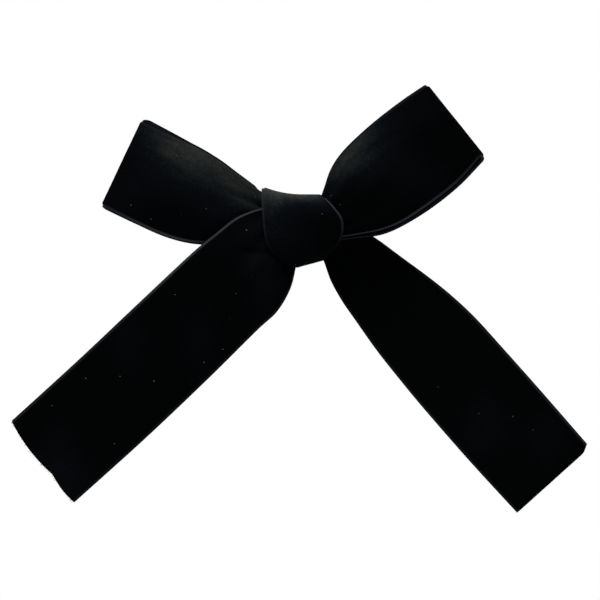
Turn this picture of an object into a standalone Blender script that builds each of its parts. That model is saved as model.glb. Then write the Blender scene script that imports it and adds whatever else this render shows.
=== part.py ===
"""Hair bow of 25 mm velvet ribbon on a sprung alligator clip.

Two loops and two tails are bound at the waist with thread, covered by a knot band and glued to the
lined flat arm of a 45 mm clip. X runs along the clip, Z is up and the bow faces -Y.
All sizes are in millimetres. X and Z are counted from the knot's centre, Y from the bow's flat back.
The finished part's origin is the middle of the gap between the clip's jaws, behind the knot.
"""
import math

import bpy
import numpy as np

MM = 0.001

# Driving dimensions.
ORIGIN = (0.0, 4.75, 3.0)
PILE_THICKNESS = 1.2
ACROSS = 6
SAMPLES = 3
WAIST_FRONT_Y = -7.3
WAIST_MIDDLE_Y = -5.55
WAIST_BACK_Y = -3.8
FOLD_RADIUS = 1.15

# The thread round the waist: turns, how far they spread along X, and half their reach in Y and Z.
THREAD_DIAMETER = 0.6
THREAD_TURNS = 3
THREAD_SPREAD = 2.4
THREAD_HALF_DEPTH = 3.3
THREAD_HALF_HEIGHT = 6.2

# The clip.
CLIP_Z = 3.0
CLIP_TIP_X = -23.5
CLIP_END_X = 21.5
STEEL = 0.6
LINING = 0.5
TOUCH_GAP = 0.3
GLUE_DEPTH = 0.9
GLUE_X = -1.5
GLUE_HALF_LENGTH = 5.5
GLUE_HALF_HEIGHT = 3.0
GLUE_RIM = 0.2
HINGE_X = 9.0
HINGE_Y = 5.2
PIN_RADIUS = 0.75
PIN_PLAY = 0.1
PIN_HEAD_RADIUS = 1.15
PIN_HEAD_HEIGHT = 0.4
PIN_END_PLAY = 0.2
WIRE = 0.7
COIL_RADIUS = 1.85
COIL_TURNS = 3
COIL_HALF_WIDTH = 1.25
SPRING_LEG = 7.5
EAR_RADIUS = 2.0
EAR_FOOT = 2.4
EAR_INSET = 0.02
TOP_HALF_WIDTH = 3.5
TOP_TIP_HALF_WIDTH = 1.6
TOP_END_EXTRA = 0.9
TOP_BEND_X = HINGE_X + 2.5
LINING_INSET = 0.7
CORNER_LENGTH = 2.5
CORNER_STEPS = 6
LOWER_HALF_WIDTH = 3.4
LOWER_WAIST_HALF_WIDTH = 2.6
LOWER_TIP_HALF_WIDTH = 1.6
LOWER_END_HALF_WIDTH = 2.0
LOWER_INSET = 0.3
LOWER_BEND_X = HINGE_X - 1.0
LOWER_EAR_FOOT = 2.6
TOP_LEVER_ANGLE = 7.0
LOWER_LEVER_ANGLE = 22.0
JAW_ANGLE = 6.4
TOOTH_COUNT = 7
TOOTH_DEPTH = 1.0
RAIL_INSET = 2.6
RAIL_END_X = -8.0

TOP_ARM_Y = GLUE_DEPTH + TOUCH_GAP + LINING + TOUCH_GAP + STEEL / 2
TOP_ARM_INNER_Y = TOP_ARM_Y + STEEL / 2

# Every station of a ribbon is one line across it: the upper edge's X and Z, the lower edge's X and Z,
# the depth Y, and how far the middle of the ribbon crowns towards -Y.
LEFT_LOOP_FRONT = (
    (-0.4, 4.8, -0.4, -4.8, WAIST_MIDDLE_Y, 0.0),
    (-9.8, 6.9, -8.6, -4.0, -5.6, 0.0),
    (-12.0, 9.6, -13.5, -4.2, -5.8, 0.1),
    (-16.0, 13.0, -20.0, -4.2, -6.4, 0.3),
    (-20.5, 16.3, -27.5, -4.0, -7.1, 0.5),
    (-26.0, 19.6, -34.5, -2.2, -7.4, 0.6),
    (-33.0, 22.9, -42.5, 1.4, -6.8, 0.3),
    (-39.4, 25.7, -49.2, 4.8, -5.85, 0.0),
)
LEFT_LOOP_BACK = (
    (-38.1, 26.3, -48.7, 4.0, -3.55, 0.0),
    (-32.0, 23.1, -42.0, 0.8, -2.5, -0.2),
    (-25.8, 19.7, -34.5, -2.5, -1.9, -0.3),
    (-20.4, 16.4, -27.5, -4.3, -2.0, -0.3),
    (-16.0, 13.0, -20.0, -4.6, -2.6, -0.2),
    (-12.0, 9.3, -13.5, -4.6, -3.3, 0.0),
    (-9.8, 6.6, -8.6, -4.4, -3.7, 0.0),
    (0.0, 4.8, 0.0, -4.8, WAIST_BACK_Y, 0.0),
    (6.0, 4.0, 3.9, -6.2, WAIST_BACK_Y, 0.0),
)
RIGHT_LOOP_FRONT = (
    (-7.4, 4.7, -3.0, -6.2, WAIST_FRONT_Y, 0.0),
    (0.0, 4.8, 0.0, -4.8, WAIST_FRONT_Y, 0.0),
    (4.2, 4.6, 8.0, -3.0, -7.3, 0.0),
    (6.2, 8.6, 13.5, -2.2, -7.7, 0.1),
    (7.4, 13.9, 19.5, -1.2, -8.4, 0.3),
    (10.4, 18.8, 25.0, 0.8, -9.0, 0.5),
    (17.0, 25.0, 32.0, 5.4, -9.3, 0.6),
    (24.5, 30.7, 38.9, 11.0, -8.7, 0.3),
    (30.6, 34.3, 44.6, 17.3, -7.65, 0.0),
)
RIGHT_LOOP_BACK = (
    (31.0, 33.6, 44.8, 16.0, -5.35, 0.0),
    (24.7, 30.2, 39.2, 10.0, -4.3, -0.2),
    (17.3, 24.5, 32.3, 4.5, -3.8, -0.3),
    (11.0, 18.5, 25.2, 0.1, -3.9, -0.3),
    (8.2, 13.4, 19.7, -2.2, -4.4, -0.2),
    (6.4, 8.4, 13.6, -3.0, -5.0, 0.0),
    (4.2, 5.0, 8.0, -3.6, -5.4, 0.0),
    (0.4, 4.8, 0.4, -4.8, WAIST_MIDDLE_Y, 0.0),
)
LEFT_TAIL = (
    (-10.9, 4.4, -3.6, -9.9, -7.3, 0.0),
    (-11.6, 4.2, -3.0, -10.8, -7.3, 0.1),
    (-16.6, 2.9, -3.4, -16.0, -8.9, 0.5),
    (-21.4, -1.8, -6.3, -21.4, -9.9, 0.9),
    (-27.5, -6.9, -11.4, -25.9, -9.6, 0.9),
    (-40.5, -19.1, -24.0, -38.2, -8.4, 0.6),
    (-56.0, -33.7, -39.5, -53.1, -7.0, 0.4),
    (-72.0, -48.6, -56.6, -68.6, -7.4, 0.2),
)
RIGHT_TAIL = (
    (8.4, 2.2, 5.7, -7.8, -3.7, 0.0),
    (9.0, 1.8, 6.1, -8.6, -3.6, 0.0),
    (12.6, -0.6, 7.4, -13.9, -2.7, -0.1),
    (17.6, -2.8, 10.0, -18.9, -2.0, -0.2),
    (24.5, -7.8, 13.0, -23.0, -1.7, -0.3),
    (34.5, -15.3, 19.0, -31.3, -1.6, -0.4),
    (42.5, -22.3, 25.5, -39.5, -2.1, -0.4),
    (50.5, -30.9, 32.0, -47.3, -3.0, -0.3),
    (60.7, -42.5, 42.6, -59.4, -4.2, -0.2),
    (71.0, -54.4, 53.7, -71.5, -4.8, 0.0),
)

# The knot band at twelve places round the waist, 30 degrees apart from the back over the top: its
# left and right edges' X.
KNOT_EDGES = (
    (-6.0, 5.0),
    (-7.4, 4.6),
    (-9.2, 4.1),
    (-9.8, 4.1),
    (-9.9, 4.5),
    (-9.8, 7.0),
    (-8.8, 9.9),
    (-5.6, 8.3),
    (-2.0, 4.9),
    (-0.8, 4.5),
    (-1.8, 4.4),
    (-4.0, 4.6),
)
KNOT_FRONT_Y = -11.4
KNOT_BACK_Y = -0.9
KNOT_TOP_Z = 7.8
KNOT_BOTTOM_Z = -9.2
KNOT_SQUARENESS = 3.4
KNOT_CROWN = 0.8
KNOT_TOP_SLOPE = -0.1
KNOT_BOTTOM_RISE = 0.05
KNOT_TURN_STEPS = 36
KNOT_COLUMNS = 6

# A point on each tail's hinge line, in the middle of the ribbon where it leaves the knot.
LEFT_TAIL_HINGE = (-7.3, -7.3, -3.3)
RIGHT_TAIL_HINGE = (7.55, -3.6, -3.4)


def principled(name, colour, roughness, metallic=0.0):
    """A plain material with one colour, roughness and metallic value."""
    material = bpy.data.materials.new(name)
    material.use_nodes = True
    shader = material.node_tree.nodes["Principled BSDF"]
    shader.inputs["Base Color"].default_value = (*colour, 1.0)
    shader.inputs["Roughness"].default_value = roughness
    shader.inputs["Metallic"].default_value = metallic
    material.diffuse_color = (*colour, 1.0)
    return material


def add_object(name, data, material, root, pivot=(0.0, 0.0, 0.0)):
    """Link a named object whose origin is the pivot, and give it its material."""
    data.materials.append(material)
    piece = bpy.data.objects.new(name, data)
    bpy.context.collection.objects.link(piece)
    piece.parent = root
    piece.location = [value * MM for value in pivot]
    return piece


def mesh_from(name, points, faces, pivot=(0.0, 0.0, 0.0)):
    """A smooth-shaded mesh from points in millimetres, stored relative to the pivot."""
    mesh = bpy.data.meshes.new(name)
    local = (np.asarray(points, dtype=float) - np.asarray(pivot)) * MM
    mesh.from_pydata(local.tolist(), [], faces)
    mesh.update()
    mesh.shade_smooth()
    mesh.set_sharp_from_angle(angle=math.radians(40.0))
    return mesh


def through(stations, samples):
    """A smooth curve through the stations: each span is a Catmull-Rom cubic cut into samples."""
    points = np.asarray(stations, dtype=float)
    before = 2.0 * points[0] - points[1]
    after = 2.0 * points[-1] - points[-2]
    guide = np.vstack((before, points, after))
    rows = []
    for span in range(len(points) - 1):
        a, b, c, d = guide[span:span + 4]
        for step in range(samples):
            t = step / samples
            rows.append(0.5 * (2.0 * b + (c - a) * t + (2.0 * a - 5.0 * b + 4.0 * c - d) * t ** 2
                               + (3.0 * b - a - 3.0 * c + d) * t ** 3))
    rows.append(points[-1])
    return np.array(rows)


def ribbon_grid(rows):
    """Points across every station, from its upper to its lower edge, with the crown added."""
    grid = []
    for upper_x, upper_z, lower_x, lower_z, depth, crown in rows:
        line = []
        for step in range(ACROSS + 1):
            across = step / ACROSS
            bow = crown * 4.0 * across * (1.0 - across)
            line.append((upper_x + (lower_x - upper_x) * across,
                         depth - bow,
                         upper_z + (lower_z - upper_z) * across))
        grid.append(line)
    return np.array(grid)


def fold_rows(front, back, outward):
    """The half turn that joins a loop's front station to its back station.

    outward is the direction, in X and Z, in which the loop points.
    """
    rows = []
    for angle in np.linspace(0.0, math.pi, 7)[1:-1]:
        share = 0.5 - 0.5 * math.cos(angle)
        row = front + (back - front) * share
        reach = FOLD_RADIUS * math.sin(angle)
        row[0] += outward[0] * reach
        row[1] += outward[1] * reach
        row[2] += outward[0] * reach
        row[3] += outward[1] * reach
        rows.append(row)
    return np.array(rows)


def sheet(name, grid, thickness, material, root, pivot=(0.0, 0.0, 0.0), ring=False, even=False):
    """A grid of points along and across a strip, thickened evenly about its middle surface."""
    along, across = grid.shape[:2]
    faces = []
    last = along if ring else along - 1
    for row in range(last):
        for column in range(across - 1):
            here = row * across + column
            beyond = ((row + 1) % along) * across + column
            faces.append((here, beyond, beyond + 1, here + 1))
    mesh = mesh_from(name, grid.reshape(-1, 3), faces, pivot)
    piece = add_object(name, mesh, material, root, pivot)
    cloth = piece.modifiers.new("thickness", "SOLIDIFY")
    cloth.thickness = thickness * MM
    cloth.offset = 0.0
    cloth.use_even_offset = even
    return piece


def loop(name, front, back, outward, material, root):
    """A ribbon that runs out in front, folds over and comes back behind."""
    front_rows = through(front, SAMPLES)
    back_rows = through(back, SAMPLES)
    fold = fold_rows(front_rows[-1], back_rows[0], outward)
    rows = np.vstack((front_rows, fold, back_rows))
    return sheet(name, ribbon_grid(rows), PILE_THICKNESS, material, root)


def knot_band(material, root):
    """A band round the waist: rounded in section, with edges that draw in below."""
    samples = KNOT_TURN_STEPS // len(KNOT_EDGES)
    edges = through(KNOT_EDGES + KNOT_EDGES[:3], samples)
    edges = np.roll(edges[samples:samples + KNOT_TURN_STEPS], samples, axis=0)
    grid = []
    for step in range(KNOT_TURN_STEPS):
        angle = 2.0 * math.pi * step / KNOT_TURN_STEPS
        depth_share = squared(math.cos(angle))
        height_share = squared(math.sin(angle))
        left, right = edges[step]
        line = []
        for column in range(KNOT_COLUMNS + 1):
            side = 2.0 * column / KNOT_COLUMNS - 1.0
            x = left + (right - left) * (side + 1.0) / 2.0
            top = KNOT_TOP_Z + KNOT_TOP_SLOPE * x
            bottom = KNOT_BOTTOM_Z + KNOT_BOTTOM_RISE * max(x, 0.0) ** 2
            front = KNOT_FRONT_Y + KNOT_CROWN * side ** 2
            y = (front + KNOT_BACK_Y) / 2.0 + (KNOT_BACK_Y - front) / 2.0 * depth_share
            z = (top + bottom) / 2.0 + (top - bottom) / 2.0 * height_share
            line.append((x, y, z))
        grid.append(line)
    return sheet("knot_band", np.array(grid), PILE_THICKNESS, material, root, ring=True)


def squared(wave):
    """Pull a sine or cosine out towards the corners of a rounded rectangle."""
    return math.copysign(abs(wave) ** (2.0 / KNOT_SQUARENESS), wave)


def tube(name, route, diameter, material, root, pivot=(0.0, 0.0, 0.0)):
    """A round wire or thread along a route, with flat ends."""
    curve = bpy.data.curves.new(name, "CURVE")
    curve.dimensions = "3D"
    curve.bevel_depth = diameter / 2.0 * MM
    curve.bevel_resolution = 2
    curve.use_fill_caps = True
    spline = curve.splines.new("POLY")
    spline.points.add(len(route) - 1)
    for point, place in zip(spline.points, route):
        point.co = [(place[i] - pivot[i]) * MM for i in range(3)] + [1.0]
    return add_object(name, curve, material, root, pivot)


def waist_thread(material, root):
    """Turns of thread round the gathered ribbons: a circle squared by a sixth power."""
    steps = 16
    route = []
    for step in range(THREAD_TURNS * steps + 1):
        angle = 2.0 * math.pi * step / steps
        reach = (abs(math.cos(angle)) ** 6 + abs(math.sin(angle)) ** 6) ** (-1.0 / 6.0)
        x = THREAD_SPREAD * (step / (THREAD_TURNS * steps) - 0.5)
        route.append((x, WAIST_MIDDLE_Y + THREAD_HALF_DEPTH * reach * math.cos(angle),
                      THREAD_HALF_HEIGHT * reach * math.sin(angle)))
    return tube("waist_thread", route, THREAD_DIAMETER, material, root)


def strip_grid(stations):
    """Points across a steel or ribbon strip from stations of X, Y and half width."""
    return np.array([[(x, y, CLIP_Z + half), (x, y, CLIP_Z - half)] for x, y, half in stations])


def plate(name, outline, low_z, high_z, material, root, pivot=(0.0, 0.0, 0.0)):
    """A flat plate with an outline in X and Y, standing between two heights."""
    count = len(outline)
    points = [(x, y, low_z) for x, y in outline] + [(x, y, high_z) for x, y in outline]
    faces = [tuple(reversed(range(count))), tuple(range(count, 2 * count))]
    for corner in range(count):
        beyond = (corner + 1) % count
        faces.append((corner, beyond, beyond + count, corner + count))
    return add_object(name, mesh_from(name, points, faces, pivot), material, root, pivot)


def as_tool(piece):
    """Keep an object as a guide for Boolean work only."""
    piece.hide_render = True
    piece.display_type = "WIRE"
    return piece


def boolean(piece, tool, operation):
    """Join or cut a piece with a tool."""
    change = piece.modifiers.new(tool.name, "BOOLEAN")
    change.operation = operation
    change.solver = "EXACT"
    change.object = as_tool(tool)


def arc(centre, radius, start, end, steps):
    """Points on an arc, in degrees."""
    return [(centre[0] + radius * math.cos(math.radians(angle)),
             centre[1] + radius * math.sin(math.radians(angle)))
            for angle in np.linspace(start, end, steps)]


def pin_hole(name, material, root):
    """The drill for the hinge holes, longer than the clip is wide."""
    outline = arc((HINGE_X, HINGE_Y), PIN_RADIUS + PIN_PLAY, 0.0, 345.0, 24)
    reach = TOP_HALF_WIDTH + 1.5
    return plate(name, outline, CLIP_Z - reach, CLIP_Z + reach, material, root)


def rounded_end(start, half_width, tip_half_width):
    """X and half width at steps round the corners of a strip's end: a quarter ellipse."""
    reach = math.copysign(CORNER_LENGTH, -start)
    return [(start + reach * (1.0 - math.cos(angle)),
             half_width - (half_width - tip_half_width) * (1.0 - math.sin(angle)))
            for angle in np.linspace(0.0, math.pi / 2.0, CORNER_STEPS)]


def narrowing(start, end, first_half_width, last_half_width):
    """X and half width at steps where a strip changes width along a half wave of a cosine."""
    change = last_half_width - first_half_width
    return [(start + (end - start) * share,
             first_half_width + change * (0.5 - 0.5 * math.cos(math.pi * share)))
            for share in np.linspace(0.0, 1.0, CORNER_STEPS)]


def top_arm_stations(offset, start, end, half_width, tip_half_width):
    """Stations of a strip that follows the upper arm at a distance in Y from its middle."""
    slope = math.tan(math.radians(TOP_LEVER_ANGLE))
    places = rounded_end(start, half_width, tip_half_width)
    places.append((TOP_BEND_X, half_width))
    places += reversed(rounded_end(end, half_width, tip_half_width + TOP_END_EXTRA))
    return [(x, TOP_ARM_Y + offset - slope * max(x - TOP_BEND_X, 0.0), half) for x, half in places]


def clip_top_arm(material, root):
    """The flat arm under the bow, with two ears that carry the pin."""
    stations = top_arm_stations(0.0, CLIP_TIP_X, CLIP_END_X, TOP_HALF_WIDTH, TOP_TIP_HALF_WIDTH)
    arm = sheet("clip_top_arm", strip_grid(stations), STEEL, material, root, even=True)
    head = arc((HINGE_X, HINGE_Y), EAR_RADIUS, 0.0, 180.0, 15)
    outline = [(HINGE_X + EAR_FOOT, TOP_ARM_Y), *head, (HINGE_X - EAR_FOOT, TOP_ARM_Y)]
    for side in (-1.0, 1.0):
        outer = CLIP_Z + side * (TOP_HALF_WIDTH - EAR_INSET)
        inner = CLIP_Z + side * (TOP_HALF_WIDTH - STEEL)
        ear = plate(f"top_ear_{'lower' if side < 0 else 'upper'}", outline,
                    min(outer, inner), max(outer, inner), material, root)
        boolean(arm, ear, "UNION")
    boolean(arm, pin_hole("top_drill", material, root), "DIFFERENCE")
    return arm


def lower_arm_line(x):
    """The lower arm's middle surface: straight along the jaw, steeper along the press lever."""
    over_coil = 0.4
    above_hinge = HINGE_Y + COIL_RADIUS + WIRE / 2.0 + over_coil + STEEL / 2.0
    angle = JAW_ANGLE if x < LOWER_BEND_X else LOWER_LEVER_ANGLE
    return above_hinge + math.tan(math.radians(angle)) * (x - LOWER_BEND_X)


def clip_bottom_arm(material, root, pivot):
    """The moving arm: a toothed jaw, two ears inside the upper arm's, and a press lever."""
    tip = CLIP_TIP_X + LOWER_INSET
    end = CLIP_END_X - LOWER_INSET
    waist = LOWER_WAIST_HALF_WIDTH
    places = [*rounded_end(tip, LOWER_HALF_WIDTH, LOWER_TIP_HALF_WIDTH),
              *narrowing(HINGE_X - 11.0, HINGE_X - 4.5, LOWER_HALF_WIDTH, waist), (LOWER_BEND_X, waist),
              *narrowing(HINGE_X + 3.5, HINGE_X + 6.5, waist, LOWER_HALF_WIDTH),
              *reversed(rounded_end(end, LOWER_HALF_WIDTH, LOWER_END_HALF_WIDTH))]
    stations = [(x, lower_arm_line(x), half) for x, half in places]
    arm = sheet("clip_bottom_arm", strip_grid(stations), STEEL, material, root, pivot, even=True)
    foot = arc((HINGE_X, HINGE_Y), EAR_RADIUS, 180.0, 360.0, 15)
    feet = (HINGE_X + LOWER_EAR_FOOT, LOWER_BEND_X, HINGE_X - LOWER_EAR_FOOT)
    ear_outline = [(x, lower_arm_line(x)) for x in feet] + foot
    rail_start = tip + RAIL_INSET
    tooth = (RAIL_END_X - rail_start) / TOOTH_COUNT
    tooth_tip = TOP_ARM_INNER_Y + TOUCH_GAP
    rail_outline = [(x, lower_arm_line(x)) for x in (RAIL_END_X, rail_start)]
    for index in range(TOOTH_COUNT):
        x = rail_start + index * tooth
        rise = math.tan(math.radians(JAW_ANGLE)) * (x - rail_start)
        rail_outline.append((x + 0.5 * tooth, tooth_tip + rise * 0.35))
        rail_outline.append((x + 0.98 * tooth, tooth_tip + TOOTH_DEPTH + rise * 0.8))
    for side, label in ((-1.0, "lower"), (1.0, "upper")):
        for prefix, outline, outer in (("ear", ear_outline, waist - EAR_INSET),
                                       ("rail", rail_outline, LOWER_HALF_WIDTH - EAR_INSET)):
            faces = sorted((CLIP_Z + side * outer, CLIP_Z + side * (outer - STEEL)))
            tool = plate(f"jaw_{prefix}_{label}", outline, faces[0], faces[1], material, root)
            boolean(arm, tool, "UNION")
    boolean(arm, pin_hole("jaw_drill", material, root), "DIFFERENCE")
    return arm


def hinge_pin(material, root):
    """A rivet through the four ears with a head at each end."""
    head_inner = TOP_HALF_WIDTH + PIN_END_PLAY
    head_outer = head_inner + PIN_HEAD_HEIGHT
    round_out, round_up = 0.2, 0.15
    half = ((PIN_RADIUS, head_inner), (PIN_HEAD_RADIUS, head_inner),
            (PIN_HEAD_RADIUS, head_outer - round_up), (PIN_HEAD_RADIUS - round_out, head_outer))
    profile = (*((radius, -height) for radius, height in reversed(half)), *half)
    sides = 24
    points = []
    for radius, height in profile:
        for x, y in arc((0.0, 0.0), radius, 0.0, 360.0 - 360.0 / sides, sides):
            points.append((HINGE_X + x, HINGE_Y + y, CLIP_Z + height))
    faces = [tuple(reversed(range(sides)))]
    for ring in range(len(profile) - 1):
        for side in range(sides):
            here = ring * sides + side
            beyond = ring * sides + (side + 1) % sides
            faces.append((here, beyond, beyond + sides, here + sides))
    faces.append(tuple(range((len(profile) - 1) * sides, len(profile) * sides)))
    pivot = (HINGE_X, HINGE_Y, CLIP_Z)
    return add_object("hinge_pin", mesh_from("hinge_pin", points, faces, pivot), material, root, pivot)


def clip_spring(material, root):
    """A torsion spring: close turns round the pin and a leg along each press lever."""
    start = 90.0 + LOWER_LEVER_ANGLE
    end = 270.0 - TOP_LEVER_ANGLE + 360.0 * COIL_TURNS
    angles = np.linspace(start, end, 56)
    route = []
    for index, angle in enumerate(angles):
        turn = math.radians(angle)
        z = CLIP_Z + COIL_HALF_WIDTH * (1.0 - 2.0 * index / (len(angles) - 1))
        route.append((HINGE_X + COIL_RADIUS * math.cos(turn), HINGE_Y + COIL_RADIUS * math.sin(turn), z))
    lower = math.radians(LOWER_LEVER_ANGLE)
    upper = math.radians(TOP_LEVER_ANGLE)
    first_x, first_y, first_z = route[0]
    last_x, last_y, last_z = route[-1]
    first = (first_x + SPRING_LEG * math.cos(lower), first_y + SPRING_LEG * math.sin(lower), first_z)
    last = (last_x + SPRING_LEG * math.cos(upper), last_y - SPRING_LEG * math.sin(upper), last_z)
    return tube("clip_spring", [first, *route, last], WIRE, material, root,
                (HINGE_X, HINGE_Y, CLIP_Z))


def clip_lining(material, root):
    """A strip of ribbon along the outside of the upper arm."""
    offset = -(STEEL / 2.0 + TOUCH_GAP + LINING / 2.0)
    stations = top_arm_stations(offset, CLIP_TIP_X + LINING_INSET, CLIP_END_X - LINING_INSET,
                                TOP_HALF_WIDTH - 0.2, TOP_TIP_HALF_WIDTH + 0.2)
    return sheet("clip_lining", strip_grid(stations), LINING, material, root, even=True)


def glue_pad(material, root):
    """A flattened pad of glue between the knot band's back and the lining."""
    angles = np.linspace(0.0, 2.0 * math.pi, 20, endpoint=False)
    outline = [(GLUE_HALF_LENGTH * math.cos(angle), GLUE_HALF_HEIGHT * math.sin(angle)) for angle in angles]
    levels = ((0.0, 0.9), (GLUE_RIM, 1.0), (GLUE_DEPTH - GLUE_RIM, 1.0), (GLUE_DEPTH, 0.9))
    points = [(GLUE_X + x * spread, y, CLIP_Z + z * spread) for y, spread in levels for x, z in outline]
    count = len(outline)
    faces = [tuple(range(count))]
    for level in range(len(levels) - 1):
        for corner in range(count):
            here = level * count + corner
            beyond = level * count + (corner + 1) % count
            faces.append((here, here + count, beyond + count, beyond))
    faces.append(tuple(reversed(range((len(levels) - 1) * count, len(levels) * count))))
    return add_object("glue_pad", mesh_from("glue_pad", points, faces), material, root)


def main():
    for piece in list(bpy.data.objects):
        bpy.data.objects.remove(piece, do_unlink=True)
    root = bpy.data.objects.new("hair_bow", None)
    bpy.context.collection.objects.link(root)
    root.location = [-value * MM for value in ORIGIN]

    velvet = principled("black_velvet", (0.004, 0.005, 0.006), 0.9)
    thread = principled("black_thread", (0.01, 0.01, 0.012), 0.7)
    lining = principled("black_grosgrain", (0.012, 0.012, 0.014), 0.75)
    glue = principled("clear_glue", (0.75, 0.72, 0.62), 0.35)
    steel = principled("nickel_plated_steel", (0.62, 0.61, 0.59), 0.28, 1.0)
    wire = principled("spring_wire", (0.48, 0.48, 0.48), 0.32, 1.0)

    loop("left_loop", LEFT_LOOP_FRONT, LEFT_LOOP_BACK, (-0.91, 0.41), velvet, root)
    loop("right_loop", RIGHT_LOOP_FRONT, RIGHT_LOOP_BACK, (0.78, 0.62), velvet, root)
    sheet("left_tail", ribbon_grid(through(LEFT_TAIL, SAMPLES)), PILE_THICKNESS, velvet, root,
          LEFT_TAIL_HINGE)
    sheet("right_tail", ribbon_grid(through(RIGHT_TAIL, SAMPLES)), PILE_THICKNESS, velvet, root,
          RIGHT_TAIL_HINGE)
    knot_band(velvet, root)
    waist_thread(thread, root)
    glue_pad(glue, root)
    clip_lining(lining, root)
    clip_top_arm(steel, root)
    clip_bottom_arm(steel, root, (HINGE_X, HINGE_Y, CLIP_Z))
    hinge_pin(wire, root)
    clip_spring(wire, root)


main()
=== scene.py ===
"""Looks of the black velvet hair bow: ribbons, knot, glue and a nickel-plated clip round the fixed frame.

Ribbon shapes are worked out in millimetres from the knot's centre (X and Z) and the bow's flat back (Y),
with the bow facing -Y, and are then put where the frame has the thread round the waist.
"""
import math

import bmesh
import bpy
import numpy as np
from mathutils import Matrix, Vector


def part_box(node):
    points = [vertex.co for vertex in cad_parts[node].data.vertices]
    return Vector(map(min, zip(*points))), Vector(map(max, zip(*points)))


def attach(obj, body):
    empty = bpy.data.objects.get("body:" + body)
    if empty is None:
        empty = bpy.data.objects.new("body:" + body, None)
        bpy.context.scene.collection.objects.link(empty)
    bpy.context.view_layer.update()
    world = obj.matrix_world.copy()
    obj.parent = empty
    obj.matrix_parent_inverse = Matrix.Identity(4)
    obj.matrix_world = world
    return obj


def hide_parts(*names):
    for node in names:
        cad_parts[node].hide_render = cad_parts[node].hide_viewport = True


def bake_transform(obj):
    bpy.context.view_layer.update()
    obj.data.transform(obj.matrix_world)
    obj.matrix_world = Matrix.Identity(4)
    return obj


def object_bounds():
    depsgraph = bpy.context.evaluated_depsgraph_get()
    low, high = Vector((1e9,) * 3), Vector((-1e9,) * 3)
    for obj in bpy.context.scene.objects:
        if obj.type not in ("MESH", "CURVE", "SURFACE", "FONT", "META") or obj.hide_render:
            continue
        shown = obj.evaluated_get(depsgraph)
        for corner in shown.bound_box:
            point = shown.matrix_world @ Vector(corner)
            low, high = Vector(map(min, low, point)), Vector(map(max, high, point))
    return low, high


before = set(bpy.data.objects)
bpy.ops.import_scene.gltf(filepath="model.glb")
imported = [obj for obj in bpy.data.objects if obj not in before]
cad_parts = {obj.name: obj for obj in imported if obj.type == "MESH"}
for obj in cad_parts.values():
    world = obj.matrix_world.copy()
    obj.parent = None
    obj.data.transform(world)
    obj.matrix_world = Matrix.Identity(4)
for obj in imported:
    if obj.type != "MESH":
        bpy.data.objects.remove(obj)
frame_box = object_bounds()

MM = 0.001

# Where the frame holds the bow: the thread is centred on the waist, and the glue starts at its back.
WAIST_LOW, WAIST_HIGH = (np.array(corner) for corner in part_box("waist_thread"))
GLUE_LOW, GLUE_HIGH = (np.array(corner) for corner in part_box("glue_pad"))
PIN_LOW, PIN_HIGH = (np.array(corner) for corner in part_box("hinge_pin"))
KNOT_CENTRE = (WAIST_LOW + WAIST_HIGH) / 2.0
KNOT_CENTRE[1] = GLUE_LOW[1]
PIN_CENTRE = ((PIN_LOW + PIN_HIGH) / 2.0 - KNOT_CENTRE) / MM
CLIP_Z = PIN_CENTRE[2]

# Velvet ribbon, in millimetres: a woven ground with pile on both faces and bare selvedges. The pile
# rises over a shoulder inside each selvedge, and half thicknesses count from the ribbon's middle.
RIBBON_WIDTH = 25.0
KNOT_RIBBON_WIDTH = 19.0
EDGE_REACH = 0.12
SELVEDGE = 0.35
PILE_SHOULDER = 0.5
SELVEDGE_HALF = 0.2
PILE_HALF = 0.6
STEP_ALONG = 0.55
FOLD_REACH = 0.7
FOLD_STEPS = 12
CUT_REACH = 6.0
# The rear face's pattern starts this far across from the front's, so that the two faces differ.
REAR_SHIFT = 60.0
# How strongly a selvedge catches the light where no stretch of it is named below.
RIBBON_SHINE = 0.45
KNOT_SHINE = 0.2

# The depth of the ribbon's three layers at the waist.
WAIST_FRONT_Y = -7.3
WAIST_MIDDLE_Y = -5.55
WAIST_BACK_Y = -3.8

# Every station of a ribbon is one line across it: the upper edge's X and Z, the lower edge's X and Z,
# the depth Y, and how far the middle of the ribbon crowns towards -Y.
LEFT_LOOP_FRONT = (
    (-0.4, 4.8, -0.4, -4.8, WAIST_MIDDLE_Y, 0.0),
    (-9.6, 8.2, -8.6, -4.0, -5.6, 0.2),
    (-12.0, 10.1, -13.5, -4.2, -5.8, 0.6),
    (-16.0, 13.0, -20.0, -4.2, -6.2, 1.1),
    (-20.5, 16.3, -27.5, -4.0, -6.6, 1.5),
    (-26.0, 19.6, -34.5, -2.2, -6.8, 1.4),
    (-33.0, 22.9, -42.5, 1.4, -6.4, 0.8),
    (-39.4, 25.7, -49.2, 4.8, -5.85, 0.1),
)
LEFT_LOOP_BACK = (
    (-38.1, 26.3, -48.7, 4.0, -3.55, 0.0),
    (-32.0, 23.1, -42.0, 0.8, -2.5, -0.2),
    (-25.8, 19.7, -34.5, -2.5, -1.9, -0.3),
    (-20.4, 16.4, -27.5, -4.3, -2.0, -0.3),
    (-16.0, 13.0, -20.0, -4.6, -2.6, -0.2),
    (-12.0, 9.3, -13.5, -4.6, -3.3, 0.0),
    (-9.8, 6.6, -8.6, -4.4, -3.7, 0.0),
    (-0.4, 4.8, -0.4, -4.8, WAIST_BACK_Y, 0.0),
)
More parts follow.
